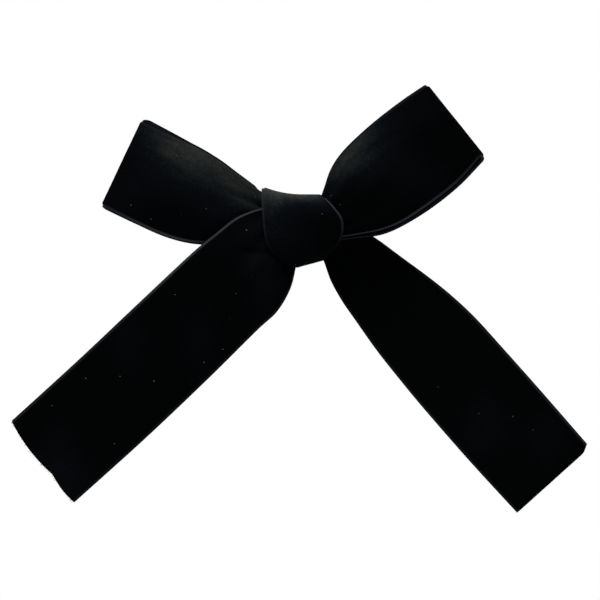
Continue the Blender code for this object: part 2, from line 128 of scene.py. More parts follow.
RIGHT_LOOP_FRONT = (
    (0.4, 4.8, 0.4, -4.8, WAIST_FRONT_Y, 0.0),
    (3.6, 4.6, 8.0, -3.0, -7.3, 0.2),
    (5.3, 8.6, 13.5, -2.2, -7.5, 0.6),
    (7.2, 13.9, 19.5, -1.1, -7.9, 1.1),
    (10.5, 18.6, 24.9, 1.0, -8.2, 1.5),
    (17.1, 24.8, 31.9, 5.6, -8.4, 1.4),
    (24.5, 30.6, 38.8, 11.1, -8.2, 0.8),
    (30.1, 34.5, 44.2, 17.1, -7.65, 0.1),
)
RIGHT_LOOP_BACK = (
    (30.7, 33.8, 44.9, 15.9, -5.35, 0.0),
    (24.7, 30.2, 39.2, 10.0, -4.3, -0.2),
    (17.3, 24.5, 32.3, 4.5, -3.8, -0.3),
    (11.0, 18.5, 25.2, 0.1, -3.9, -0.3),
    (8.2, 13.4, 19.7, -2.2, -4.4, -0.2),
    (6.4, 8.4, 13.6, -3.0, -5.0, 0.0),
    (4.2, 5.0, 8.0, -3.6, -5.4, 0.0),
    (0.4, 4.8, 0.4, -4.8, WAIST_MIDDLE_Y, 0.0),
)
LEFT_TAIL = (
    (-0.6, 4.6, -0.6, -4.8, -7.3, 0.0),
    (-7.4, 4.7, -1.2, -6.8, -7.3, 0.1),
    (-11.4, 3.9, -1.8, -10.8, -7.3, 0.3),
    (-16.4, 1.7, -3.2, -16.0, -8.6, 0.9),
    (-21.2, -2.1, -6.4, -21.4, -9.2, 1.6),
    (-27.3, -7.2, -11.3, -26.0, -9.2, 1.5),
    (-40.3, -19.3, -23.8, -38.4, -8.4, 0.6),
    (-55.8, -33.8, -39.4, -53.2, -7.0, 0.4),
    (-72.0, -48.6, -56.6, -68.7, -7.4, 0.2),
)
RIGHT_TAIL = (
    (0.6, 4.6, 0.6, -4.8, WAIST_BACK_Y, 0.0),
    (6.6, 3.6, 3.5, -6.2, WAIST_BACK_Y, 0.0),
    (9.0, 1.8, 5.4, -8.6, -3.6, 0.0),
    (12.6, -0.6, 7.4, -13.8, -2.7, -0.1),
    (17.7, -2.6, 10.2, -18.8, -2.0, -0.2),
    (24.7, -7.6, 13.1, -23.0, -1.7, -0.3),
    (34.7, -15.1, 19.0, -31.3, -1.6, -0.4),
    (42.6, -22.2, 25.5, -39.5, -2.1, -0.4),
    (50.5, -30.9, 32.0, -47.3, -3.0, -0.3),
    (60.7, -42.5, 42.6, -59.4, -4.2, -0.2),
    (71.0, -54.4, 53.7, -71.5, -4.8, 0.0),
)

# The knot band at twelve places 30 degrees apart round the waist, from the back over the top: its left
# and right edges' X.
KNOT_EDGES = (
    (-6.0, 5.0),
    (-7.4, 4.6),
    (-9.2, 4.6),
    (-9.9, 5.0),
    (-10.0, 5.9),
    (-9.9, 8.0),
    (-9.5, 10.2),
    (-7.8, 9.2),
    (-4.6, 6.6),
    (-1.4, 5.3),
    (-1.6, 4.7),
    (-3.8, 4.6),
)
KNOT_FRONT_Y = -11.2
KNOT_BACK_Y = -0.9
KNOT_TOP_Z = 7.2
KNOT_BOTTOM_Z = -9.9
KNOT_BOTTOM_SLOPE = 0.27
KNOT_SQUARENESS = 2.7
KNOT_CROWN = 1.0
KNOT_STEPS = 144
KNOT_FOLD_DEPTH = 0.9
# The knot ribbon's length once round the waist, and the length over which its pattern runs.
KNOT_PATTERN_LENGTH = 52.0

# Where each ribbon's pile is painted paler, as painted sheen where light falls on it: height, centre along
# in millimetres and across as a share of the width, and reach along and across. Where a selvedge catches
# the light, painted into its colour as highlights, or as painted shade where the height is below nought:
# height, centre along, edge (0 the upper or left one, 1 the other) and reach along.
LEFT_LOOP_PAINTED_SHEEN = ((0.62, 23.0, 0.0, 22.0, 0.35), (0.3, 39.0, 0.1, 8.0, 0.22),
                    (0.28, 23.0, 0.45, 12.0, 0.28), (0.1, 12.0, 0.75, 7.0, 0.25))
LEFT_LOOP_EDGE_PAINTED_LIGHT = ((1.5, 27.0, 1, 19.0), (-0.3, 24.0, 0, 24.0))
RIGHT_LOOP_PAINTED_SHEEN = ((0.72, 21.0, 0.0, 14.0, 0.4), (0.08, 30.0, 0.85, 14.0, 0.3))
RIGHT_LOOP_EDGE_PAINTED_LIGHT = ((1.2, 22.0, 1, 21.0), (-0.2, 24.0, 0, 24.0))
LEFT_TAIL_PAINTED_SHEEN = ((0.2, 16.0, 0.55, 9.0, 0.5), (0.1, 88.0, 0.6, 14.0, 0.5))
LEFT_TAIL_EDGE_PAINTED_LIGHT = ((0.95, 10.0, 0, 12.0), (0.6, 32.0, 0, 12.0))
# A crease that the knot pressed into the left tail: from and to, each in millimetres along and across.
LEFT_TAIL_CREASE = ((9.4, 15.0), (16.2, 7.5))
CREASE_DEPTH = 0.45
CREASE_REACH = 0.8
RIGHT_TAIL_PAINTED_SHEEN = ((0.12, 70.0, 0.5, 20.0, 0.5),)
KNOT_PAINTED_SHEEN = ((0.66, 14.5, 0.3, 6.0, 0.9), (0.2, 20.0, 0.05, 7.0, 0.2))
KNOT_EDGE_PAINTED_LIGHT = ((0.9, 19.8, 1, 6.6), (0.72, 17.0, 0, 7.5))

# Loose thread ends at a cut, in millimetres: half their thickness and how deep they are rooted.
SPIKE_HALF = 0.07
SPIKE_ROOT = 0.5

# The thread round the waist: its turns, and their half reach in X, Y and Z.
THREAD_RADIUS = 0.32
THREAD_TWIST = 0.35
THREAD_TURNS = 3
THREAD_HALF_SPREAD = 1.2
THREAD_HALF_DEPTH = 3.3
THREAD_HALF_HEIGHT = 6.2
PLY_SWELL = 0.16

# The clip's fittings, in millimetres and degrees.
PIN_RADIUS = 0.75
PIN_HEAD_RADIUS = 1.15
PIN_HEAD_HEIGHT = 0.4
COIL_RADIUS = 1.85
COIL_TURNS = 3
COIL_HALF_WIDTH = 1.25
SPRING_WIRE_RADIUS = 0.35
SPRING_LEG = 7.5
SPRING_LEG_START = 0.3
TOP_LEVER_ANGLE = 7.0
LOWER_LEVER_ANGLE = 22.0
ARM_BEND = 2.5
LINING_Y = 1.2
LINING_THICKNESS = 0.5
LINING_HALF_WIDTH = 3.3
LINING_CORNER = 2.0
LINING_RIB = 0.8
LINING_RIB_HEIGHT = 0.06
TUMBLED_RADIUS = 0.08

# Floor, light and camera: metres and degrees, the key's strength in watts a square metre, the lens and
# its sensor in millimetres.
FLOOR_RADIUS = 1.6
FLOOR_DROP = 0.3
KEY_STRENGTH = 4.7
KEY_ANGLE = 30.0
WORLD_LIGHT = 0.15
LENS = 120.0
SENSOR = 36.0
FRAME_MARGIN = 1.045


# Colour and nodes.

def linear(hex_colour):
    """An sRGB hex colour as linear red, green, blue and full alpha."""
    parts = [int(hex_colour[place:place + 2], 16) / 255.0 for place in (1, 3, 5)]
    return [part / 12.92 if part <= 0.04045 else ((part + 0.055) / 1.055) ** 2.4 for part in parts] + [1.0]


def add(tree, kind, inputs=None, **settings):
    """A node with its settings, and its inputs either set to a value or linked to a socket."""
    made = tree.nodes.new(kind)
    for name, value in settings.items():
        setattr(made, name, value)
    for socket, value in (inputs or {}).items():
        if isinstance(value, bpy.types.NodeSocket):
            tree.links.new(value, made.inputs[socket])
        else:
            made.inputs[socket].default_value = value
    return made


def noise(tree, place, size, detail, **inputs):
    """Noise whose lumps are about the size given, in the units of its place."""
    settings = {"Vector": place, "Scale": 1.0 / size, "Detail": detail}
    return add(tree, "ShaderNodeTexNoise", {**settings, **inputs}).outputs["Fac"]


def maths(tree, operation, *values, **settings):
    """One step of arithmetic on sockets or numbers."""
    made = add(tree, "ShaderNodeMath", dict(enumerate(values)), operation=operation, **settings)
    return made.outputs[0]


def ranged(tree, value, source, target, **settings):
    """A value carried over from between two limits to between two others, and kept there."""
    inputs = {0: value, 1: source[0], 2: source[1], 3: target[0], 4: target[1]}
    return add(tree, "ShaderNodeMapRange", inputs, **settings).outputs[0]


def mixed(tree, share, first, second, **settings):
    """The colour a share of the way from one to another: hex colours or sockets."""
    ends = [linear(end) if isinstance(end, str) else end for end in (first, second)]
    made = add(tree, "ShaderNodeMix", {0: share, 6: ends[0], 7: ends[1]}, data_type="RGBA", **settings)
    return made.outputs[2]


def relief(tree, height, strength, depth):
    """A normal for relief too fine to model, its depth in millimetres."""
    inputs = {"Height": height, "Strength": strength, "Distance": depth * MM}
    return add(tree, "ShaderNodeBump", inputs).outputs[0]


def feed(tree, shader, **sockets):
    """Outputs linked to the shader's own sockets."""
    for socket, output in sockets.items():
        tree.links.new(output, shader.inputs[socket.replace("_", " ")])


def finish(name, **sockets):
    """A new material with its shader's even values set on the shader's own sockets."""
    material = bpy.data.materials.new(name)
    material.use_nodes = True
    tree = material.node_tree
    shader = tree.nodes["Principled BSDF"]
    for socket, value in sockets.items():
        shader.inputs[socket.replace("_", " ")].default_value = value
    return material, tree, shader


def black_velvet():
    """Cut-pile velvet ribbon with a woven selvedge.

    Upright pile swallows light seen along it and glows a little where it is seen from the side, so the
    faces stay near black and the edges that turn away carry a cool sheen. The selvedge has no pile and
    shows smooth threads, so it reads as a thin paler line.
    """
    material, tree, shader = finish("black_velvet_ribbon", Sheen_Weight=0.014, Sheen_Roughness=0.35,
                                    Sheen_Tint=linear("#d2dcdc"), Specular_IOR_Level=0.005)
    strip = add(tree, "ShaderNodeAttribute", attribute_name="strip")
    parts = add(tree, "ShaderNodeSeparateXYZ", {0: strip.outputs["Vector"]})
    along, across, pile = parts.outputs
    # The pile's tone with its painted sheen, and the selvedge's shine with its painted highlights and shade,
    # come from the attributes read here.
    nap_and_painted_light = add(tree, "ShaderNodeAttribute", attribute_name="nap_and_painted_light").outputs["Fac"]
    shine = add(tree, "ShaderNodeAttribute", attribute_name="shine").outputs["Fac"]
    place = add(tree, "ShaderNodeCombineXYZ", {0: along, 1: across}).outputs[0]

    # Tufts stand 0.25 mm apart; they are drawn at 0.45 mm so that they still show.
    tufts = noise(tree, place, 0.45, 2.0)
    # Brushed places, 9 mm long and 3 mm wide, where the nap leans another way.
    brushed = add(tree, "ShaderNodeMapping", {"Vector": place, "Scale": (1.0 / 9.0, 1.0 / 3.0, 1.0)})
    patches = noise(tree, brushed.outputs[0], 1.0, 3.0)
    unevenness = maths(tree, "MULTIPLY_ADD", patches, 0.8, 0.6)
    # Crushed places about 1.2 mm across, where handling has bent the pile over.
    crush = ranged(tree, noise(tree, place, 1.2, 4.0, Roughness=0.6), (0.3, 0.7), (0.86, 1.14))
    lean = maths(tree, "MULTIPLY", nap_and_painted_light, maths(tree, "MULTIPLY", unevenness, crush), use_clamp=True)
    # Painted sheen: the higher the share, the paler the pile is painted, first bluish, then grey; it is
    # mostly painted highlight where light falls, with the random patches and crushed places in it.
    bluish = ranged(tree, lean, (0.0, 0.45), (0.0, 1.0))
    greyish = ranged(tree, lean, (0.25, 1.0), (0.0, 1.0), interpolation_type="SMOOTHSTEP")
    pile_colour = mixed(tree, bluish, "#030404", "#0b0e13")
    pile_colour = mixed(tree, greyish, pile_colour, "#2d302d")
    grain = ranged(tree, tufts, (0.3, 0.7), (0.7, 1.3))
    pile_colour = mixed(tree, 1.0, pile_colour, grain, blend_type="MULTIPLY")

    # Lint: an uneven pale speck about 0.25 mm wide in one cell of 6 mm in five.
    cells = add(tree, "ShaderNodeTexVoronoi", {"Vector": place, "Scale": 1.0 / 6.0},
                voronoi_dimensions="2D")
    ragged = maths(tree, "MULTIPLY_ADD", tufts, 0.09, -0.024)
    near = maths(tree, "LESS_THAN", cells.outputs["Distance"], ragged)
    cell_value = add(tree, "ShaderNodeSeparateColor", {0: cells.outputs["Color"]})
    chosen = maths(tree, "GREATER_THAN", cell_value.outputs[0], 0.8)
    lint = mixed(tree, cell_value.outputs[1], "#17191b", "#5b6165")
    pile_colour = mixed(tree, maths(tree, "MULTIPLY", near, chosen), pile_colour, lint)

    # Selvedge threads turn back every 0.6 mm.
    ribs = maths(tree, "SINE", maths(tree, "MULTIPLY", along, 2.0 * math.pi / 0.6))
    ribs = maths(tree, "MULTIPLY_ADD", ribs, 0.5, 0.5)
    edge_colour = mixed(tree, ribs, "#23252a", "#2b2e35")
    # Painted highlights and painted shade on the selvedge: its colour is scaled by the shine share.
    edge_colour = mixed(tree, 1.0, edge_colour, shine, blend_type="MULTIPLY")

    heights = add(tree, "ShaderNodeMix", {0: pile, 2: maths(tree, "MULTIPLY", ribs, 0.5), 3: tufts})
    feed(tree, shader, Base_Color=mixed(tree, pile, edge_colour, pile_colour),
         Roughness=ranged(tree, pile, (0.0, 1.0), (0.5, 0.95)),
         Normal=relief(tree, heights.outputs[0], 0.5, 0.12))
    return material


def black_thread():
    """Twisted polyester thread: dark, with the dull gloss of fine filaments."""
    material, tree, shader = finish("twisted_polyester_thread", Roughness=0.55, Sheen_Weight=0.2)
    place = add(tree, "ShaderNodeTexCoord").outputs["Object"]
    fibres = noise(tree, place, 0.2 * MM, 2.0)
    feed(tree, shader, Base_Color=mixed(tree, fibres, "#0c0d0f", "#26282c"),
         Normal=relief(tree, fibres, 0.4, 0.05))
    return material


def black_grosgrain():
    """Grosgrain ribbon: a dull weave of fine threads, over the strip's modelled cross ribs."""
    material, tree, shader = finish("black_grosgrain_ribbon", Roughness=0.6, Sheen_Weight=0.1)
    place = add(tree, "ShaderNodeTexCoord").outputs["Object"]
    weave = noise(tree, place, 0.3 * MM, 3.0)
    feed(tree, shader, Base_Color=mixed(tree, weave, "#101113", "#2b2d31"),
         Normal=relief(tree, weave, 0.5, 0.05))
    return material


def milky_glue():
    """Hot-melt glue: milky and slightly see-through, with a skin that set soft and glossy."""
    material, tree, shader = finish("hot_melt_glue", Roughness=0.3, IOR=1.48, Subsurface_Weight=0.5,
                                    Subsurface_Scale=1.0 * MM)
    place = add(tree, "ShaderNodeTexCoord").outputs["Object"]
    cloud = noise(tree, place, 2.0 * MM, 2.0)
    feed(tree, shader, Base_Color=mixed(tree, cloud, "#8d8878", "#a9a492"),
         Normal=relief(tree, cloud, 0.3, 0.2))
    return material


def nickel_plate():
    """Bright nickel over stamped steel: a warm grey mirror dulled by drawing marks along the strip."""
    material, tree, shader = finish("nickel_plated_steel", Metallic=1.0)
    place = add(tree, "ShaderNodeTexCoord").outputs["Object"]
    drawn = add(tree, "ShaderNodeMapping", {"Vector": place, "Scale": (0.08, 1.0, 1.0)})
    marks = noise(tree, drawn.outputs[0], 0.25 * MM, 4.0)
    stains = noise(tree, place, 5.0 * MM, 2.0)
    feed(tree, shader, Base_Color=mixed(tree, stains, "#b4b0a8", "#c9c6c0"),
         Roughness=ranged(tree, marks, (0.3, 0.7), (0.26, 0.34)),
         Normal=relief(tree, marks, 0.12, 0.02))
    return material


def spring_wire():
    """Drawn spring steel: darker and barer than the plated arms, with fine marks."""
    material, tree, shader = finish("drawn_spring_wire", Metallic=1.0)
    place = add(tree, "ShaderNodeTexCoord").outputs["Object"]
    marks = noise(tree, place, 0.4 * MM, 4.0)
    feed(tree, shader, Base_Color=mixed(tree, marks, "#86837d", "#a9a6a0"),
         Roughness=ranged(tree, marks, (0.3, 0.7), (0.24, 0.42)))
    return material


def paper_white():
    """Matte white paper with a faint tooth, for the floor."""
    material, tree, shader = finish("matte_white_paper", Roughness=0.9)
    place = add(tree, "ShaderNodeTexCoord").outputs["Object"]
    feed(tree, shader, Base_Color=mixed(tree, noise(tree, place, 4.0 * MM, 2.0), "#bababa", "#bfbfbe"))
    return material


# Meshes.

def make_piece(name, points, faces, material, attributes=None):
    """A smooth mesh piece from points in millimetres about the knot and each face's corner numbers."""
    mesh = bpy.data.meshes.new(name)
    placed = np.asarray(points) * MM + KNOT_CENTRE
    mesh.from_pydata(placed.tolist(), [], faces.tolist() if isinstance(faces, np.ndarray) else faces)
    for label, values in (attributes or {}).items():
        kind = "FLOAT_VECTOR" if values.ndim == 2 else "FLOAT"
        layer = mesh.attributes.new(label, kind, "POINT")
        layer.data.foreach_set("vector" if values.ndim == 2 else "value", values.astype(float).ravel())
    work = bmesh.new()
    work.from_mesh(mesh)
    bmesh.ops.recalc_face_normals(work, faces=work.faces)
    work.to_mesh(mesh)
    work.free()
    mesh.shade_smooth()
    mesh.set_sharp_from_angle(angle=math.radians(45.0))
    mesh.materials.append(material)
    piece = bpy.data.objects.new(name, mesh)
    bpy.context.collection.objects.link(piece)
    return piece


def wall_faces(rings, around, closed=False):
    """Quads of a wall of rings: each ring's point joins its neighbours along and around."""
    last = rings if closed else rings - 1
    ring, side = np.meshgrid(np.arange(last), np.arange(around), indexing="ij")
    here = ring * around + side
    next_side = ring * around + (side + 1) % around
    beyond = ((ring + 1) % rings) * around
    return np.stack((here, beyond + side, beyond + (side + 1) % around, next_side), axis=-1).reshape(-1, 4)


def strip_caps(rings, columns):
    """Quads that close the two ends of a strip whose rings run out over its face and back beneath."""
    face = np.arange(columns - 1)
    cap = np.stack((face, face + 1, 2 * columns - 2 - face, 2 * columns - 1 - face), axis=-1)
    return np.vstack((cap, cap + (rings - 1) * 2 * columns))


def fan_caps(rings, sides):
    """Triangles that close a round wall's ends, each a fan to its own pole after the wall's points."""
    last = (rings - 1) * sides
    pole = rings * sides
    first_cap = [(side, (side + 1) % sides, pole) for side in range(sides)]
    return first_cap + [(last + side, last + (side + 1) % sides, pole + 1) for side in range(sides)]


def eased(share):
    """A smooth step from 0 to 1: three times the square less twice the cube."""
    share = np.clip(share, 0.0, 1.0)
    return share * share * (3.0 - 2.0 * share)


# Ribbons.

def curve_through(stations, samples=24):
    """Catmull-Rom cubics through the stations, each span cut into samples."""
    points = np.asarray(stations, dtype=float)
    guide = np.vstack((2.0 * points[0] - points[1], points, 2.0 * points[-1] - points[-2]))
    a, b, c, d = (guide[start:start + len(points) - 1, None] for start in range(4))
    t = (np.arange(samples) / samples)[None, :, None]
    rows = 0.5 * (2.0 * b + (c - a) * t + (2.0 * a - 5.0 * b + 4.0 * c - d) * t ** 2
                  + (3.0 * b - a - 3.0 * c + d) * t ** 3)
    return np.vstack((rows.reshape(-1, points.shape[1]), points[-1]))


def fold_over(front, back, outward):
    """A half turn from the front station to the back one, as half an ellipse that reaches out in X and Z."""
    angle = np.linspace(0.0, math.pi, FOLD_STEPS + 1)[1:-1, None]
    rows = front + (back - front) * (0.5 - 0.5 * np.cos(angle))
    reach = FOLD_REACH * np.sin(angle)
    rows[:, :4] += reach * np.array(outward * 2)
    return rows


def even_rows(rows, step=STEP_ALONG):
    """The same stations at even steps of the ribbon's middle line, and the distance to each."""
    middle = np.column_stack(((rows[:, 0] + rows[:, 2]) / 2.0, rows[:, 4], (rows[:, 1] + rows[:, 3]) / 2.0))
    length = np.concatenate(([0.0], np.cumsum(np.linalg.norm(np.diff(middle, axis=0), axis=1))))
    along = np.linspace(0.0, length[-1], max(2, int(round(length[-1] / step))))
    return np.column_stack([np.interp(along, length, column) for column in rows.T]), along


def across_places(width):
    """Shares of the width from edge to edge, close together over the selvedges and pile shoulders."""
    edge = np.array([0.0, 0.18, SELVEDGE, 0.45, 0.6, 0.75, 0.95, 1.3, 1.9]) / width
    margin = 2.7 / width
    inner = np.linspace(margin, 1.0 - margin, 30)
    return np.concatenate((edge, inner, 1.0 - edge[::-1]))


def pile_share(across, width):
    """How much pile stands at each place: none on the selvedges, all of it a shoulder further in."""
    from_edge = np.minimum(across, 1.0 - across) * width
    return eased((from_edge - SELVEDGE) / PILE_SHOULDER)


def gathers(along, across, near, depth, count, phase):
    """Pleats that run out from the waist: a sine across the width that fades with distance along.

    near is the distance over which a pleat loses its depth, and two waves of unlike width are added so
    that the pleats differ.
    """
    fade = np.exp(-(along / near) ** 2)[:, None]
    drift = 0.02 * along[:, None]
    wave = np.sin(2.0 * math.pi * (count * across[None, :] + phase + drift))
    wave = wave + 0.5 * np.sin(2.0 * math.pi * (1.7 * count * across[None, :] - 1.3 * phase - drift))
    return depth * fade * wave * np.sin(math.pi * across)[None, :] ** 0.5


def crease(along, across, ends):
    """A crease line's share at each place: a bell of the distance from the line, faded past its ends."""
    start, end = np.array(ends)
    length = np.linalg.norm(end - start)
    heading = (end - start) / length
    u = along[:, None] - start[0]
    v = across[None, :] * RIBBON_WIDTH - start[1]
    down_line = u * heading[0] + v * heading[1]
    off_line = v * heading[0] - u * heading[1]
    past_ends = np.abs(down_line / length - 0.5) * 2.0
    return np.exp(-(off_line / CREASE_REACH) ** 2 - past_ends ** 4)


def pile_tone_and_painted_sheen(along, across, base, painted_sheen, seed):
    """How pale the pile looks, 0 to 1.

    To the piece's own base, partly its tone and partly painted shade, are added slow waves along and across
    that vary the tone, and painted sheen where light falls on the pile: bells of their own height, centre
    along and across, and reach along and across.
    """
    u = along[:, None]
    v = across[None, :]
    long_wave = 0.07 * np.sin(0.13 * u + 3.1 * v + seed)
    short_wave = 0.05 * np.sin(0.27 * u - 5.3 * v + 2.0 * seed)
    lean = base + long_wave + short_wave
    for height, at_u, at_v, reach_u, reach_v in painted_sheen:
        lean = lean + height * np.exp(-((u - at_u) / reach_u) ** 2 - ((v - at_v) / reach_v) ** 2)
    return np.clip(lean, 0.0, 1.0)


def selvedge_shine(along, across, base, edge_painted_light):
    """How strongly the selvedge threads catch the light: an even share plus bells along one edge.

    A bell has its own height, centre along, edge (0 the upper or left one, 1 the other) and reach.
    """
    u = along[:, None]
    shine = base + 0.0 * u * across[None, :]
    for height, at_u, edge, reach_u in edge_painted_light:
        nearer = np.abs(across - edge) < 0.5
        shine = shine + height * np.exp(-((u - at_u) / reach_u) ** 2) * nearer[None, :]
    return shine


def surface_normals(middle, closed):
    """Unit normals of a grid: the cross product of its slopes along and across."""
    if closed:
        along = np.roll(middle, -1, axis=0) - np.roll(middle, 1, axis=0)
    else:
        along = np.gradient(middle, axis=0)
    normal = np.cross(along, np.gradient(middle, axis=1))
    return normal / np.linalg.norm(normal, axis=2, keepdims=True)


def velvet_piece(name, middle, along, across, width, nap_and_painted_light, shine, material, closed=False):
    """A velvet ribbon about its middle surface.

    Each skin stands off the middle surface along its normal by half the ground's thickness plus the
    pile, which is missing on the selvedges and ripples by a product of two sines elsewhere. Rings run
    out over the front skin and back over the rear. The attributes are strip (along, across, pile), the
    pile's tone with its painted sheen, and the selvedge's shine with its painted highlights and shade.
    """
    pile = pile_share(across, width)
    rows, columns = middle.shape[:2]
    ripple = 0.03 * np.sin(along[:, None] * 2.3 + 11.0 * across[None, :]) * np.sin(along[:, None] * 0.7)
    half = SELVEDGE_HALF + (PILE_HALF - SELVEDGE_HALF) * pile[None, :] * (1.0 + ripple)
    lift = surface_normals(middle, closed) * half[:, :, None]
    rings = np.concatenate((middle + lift, (middle - lift)[:, ::-1]), axis=1)
    faces = wall_faces(rows, 2 * columns, closed)
    if not closed:
        faces = np.vstack((faces, strip_caps(rows, columns)))
    there_and_back = np.concatenate((across, across[::-1]))
    strip = np.empty((rows, 2 * columns, 3))
    strip[:, :, 0] = along[:, None]
    strip[:, :, 1] = there_and_back[None, :] * width
    strip[:, columns:, 1] += REAR_SHIFT
    strip[:, :, 2] = np.concatenate((pile, pile[::-1]))[None, :]
    nap_and_painted_light, shine = (np.concatenate((share, share[:, ::-1]), axis=1).reshape(-1) for share in (nap_and_painted_light, shine))
    return make_piece(name, rings.reshape(-1, 3), faces, material,
                      {"strip": strip.reshape(-1, 3), "nap_and_painted_light": nap_and_painted_light, "shine": shine})


def ribbon_middle(rows, across, pleats):
    """Points from each station's upper edge to its lower one, a little past both.

    The crown is a parabola across the ribbon, and the pleats add to its depth.
    """
    upper = rows[:, None, 0:2]
    lower = rows[:, None, 2:4]
    reach = EDGE_REACH / RIBBON_WIDTH
    flat = upper + (lower - upper) * (across * (1.0 + 2.0 * reach) - reach)[None, :, None]
    parabola = 4.0 * (across * (1.0 - across))[None, :]
    depth = rows[:, 4][:, None] - rows[:, 5][:, None] * parabola + pleats
    return np.stack((flat[:, :, 0], depth, flat[:, :, 1]), axis=-1)


def ribbon_loop(name, front, back, outward, material, tone_and_shade_base, painted_sheen, edge_painted_light, seed):
    """A ribbon that runs out in front, folds flat and returns behind, gathered at both ends."""
    front_rows = curve_through(front)
    back_rows = curve_through(back)
    rows = np.vstack((front_rows, fold_over(front_rows[-1], back_rows[0], outward), back_rows))
    rows, along = even_rows(rows)
    across = across_places(RIBBON_WIDTH)
    pleats = gathers(along, across, near=15.0, depth=0.55, count=3.0, phase=0.1 + seed)
    pleats = pleats + gathers(along[-1] - along, across, near=13.0, depth=0.5, count=3.5,
                              phase=0.4 + seed)
    middle = ribbon_middle(rows, across, pleats)
    # Painted sheen on the pile and painted highlights and shade on the selvedges.
    nap_and_painted_light = pile_tone_and_painted_sheen(along, across, tone_and_shade_base, painted_sheen, seed)
    shine = selvedge_shine(along, across, RIBBON_SHINE, edge_painted_light)
    piece = velvet_piece(name, middle, along, across, RIBBON_WIDTH, nap_and_painted_light, shine, material)
    return piece, along[-1]


def scalloped_cut(across):
    """How far a careless cut strays outwards: two shallow scallops, each half a sine, side by side."""
    first = 0.85 * np.abs(np.sin(math.pi * across / 0.65)) ** 0.8
    second = 0.45 * np.abs(np.sin(math.pi * (across - 0.65) / 0.35))
    return np.where(across < 0.65, first, second)


def skewed_cut(across):
    """A straight cut that runs 1.15 mm askew, with the upper corner rounded off by an eased step."""
    return 1.15 * (1.0 - across) * eased(across / 0.13 + 0.15) + 0.1


def ribbon_tail(name, stations, material, tone_and_shade_base, painted_sheen, edge_painted_light, seed, cut, crease_ends=None):
    """A ribbon that hangs from the waist to a cut end, gathered where it leaves the knot.

    The cut's strays fade in over the last millimetres. A crease sinks in, and painted shade darkens the
    pile along it.
    """
    rows, along = even_rows(curve_through(stations))
    across = across_places(RIBBON_WIDTH)
    pleats = gathers(along, across, near=16.0, depth=0.6, count=2.6, phase=0.35 + seed)
    # Painted sheen on the pile and painted highlights and shade on the selvedges.
    nap_and_painted_light = pile_tone_and_painted_sheen(along, across, tone_and_shade_base, painted_sheen, seed)
    if crease_ends:
        pressed = crease(along, across, crease_ends)
        pleats = pleats + CREASE_DEPTH * pressed
        # Painted shade along the crease: the pile is painted darker there.
        nap_and_painted_light = nap_and_painted_light * (1.0 - pressed)
    middle = ribbon_middle(rows, across, pleats)
    stray = cut(across)
    direction = middle[-1] - middle[-8]
    direction /= np.linalg.norm(direction, axis=1, keepdims=True)
    share = eased((along - along[-1] + CUT_REACH) / CUT_REACH)[:, None, None]
    middle = middle + share * stray[None, :, None] * direction[None]
    shine = selvedge_shine(along, across, RIBBON_SHINE, edge_painted_light)
    piece = velvet_piece(name, middle, along, across, RIBBON_WIDTH, nap_and_painted_light, shine, material)
    return piece, along[-1], middle[-1], direction


def squared(wave):
    """A sine or cosine pulled out towards the corners of a rounded rectangle."""
    return np.sign(wave) * np.abs(wave) ** (2.0 / KNOT_SQUARENESS)


def knot_band(material):
    """The ribbon round the waist: a rounded rectangle in Y and Z, carried across in X between its edges.

    Its width is drawn in below, where the cloth heaps up in folds: sines across whose depth grows as
    the band narrows.
    """
    per_span = KNOT_STEPS // len(KNOT_EDGES)
    edges = curve_through(KNOT_EDGES[-2:] + KNOT_EDGES + KNOT_EDGES[:2], per_span)
    edges = edges[2 * per_span:2 * per_span + KNOT_STEPS]
    angle = 2.0 * math.pi * np.arange(KNOT_STEPS) / KNOT_STEPS
    across = across_places(KNOT_RIBBON_WIDTH)
    side = 2.0 * across[None, :] - 1.0
    x = edges[:, :1] + (edges[:, 1:] - edges[:, :1]) * across[None, :]
    top = KNOT_TOP_Z + 0.02 * np.minimum(x, 0.0) ** 2
    bottom = KNOT_BOTTOM_Z + KNOT_BOTTOM_SLOPE * np.maximum(x + 1.3, 0.0)
    front = KNOT_FRONT_Y + KNOT_CROWN * np.abs(side) ** 2.5
    tightness = 1.0 - (edges[:, 1] - edges[:, 0]) / KNOT_RIBBON_WIDTH
    behind = eased((np.cos(angle) + 0.05) / 0.6)
    folds = (tightness * behind)[:, None] * (1.0 - np.cos(2.0 * math.pi * (3.0 * across[None, :] + 0.1)))
    folds = folds * np.sin(math.pi * across)[None, :] ** 0.5
    depth_share = squared(np.cos(angle))[:, None]
    height_share = squared(np.sin(angle))[:, None]
    y_half = (KNOT_BACK_Y - front) / 2.0 - KNOT_FOLD_DEPTH * folds
    z_half = (top - bottom) / 2.0 - KNOT_FOLD_DEPTH * folds
    y = (front + KNOT_BACK_Y) / 2.0 + y_half * depth_share
    z = (top + bottom) / 2.0 + z_half * height_share
    middle = np.stack((x, y, z), axis=-1)
    along = angle / (2.0 * math.pi) * KNOT_PATTERN_LENGTH
    # Painted sheen on the knot's top and painted highlights along its selvedges.
    nap_and_painted_light = pile_tone_and_painted_sheen(along, across, base=0.06, painted_sheen=KNOT_PAINTED_SHEEN, seed=4.0)
    shine = selvedge_shine(along, across, KNOT_SHINE, KNOT_EDGE_PAINTED_LIGHT)
    return velvet_piece("knot_wrap", middle, along, across, KNOT_RIBBON_WIDTH, nap_and_painted_light, shine, material,
                        closed=True)


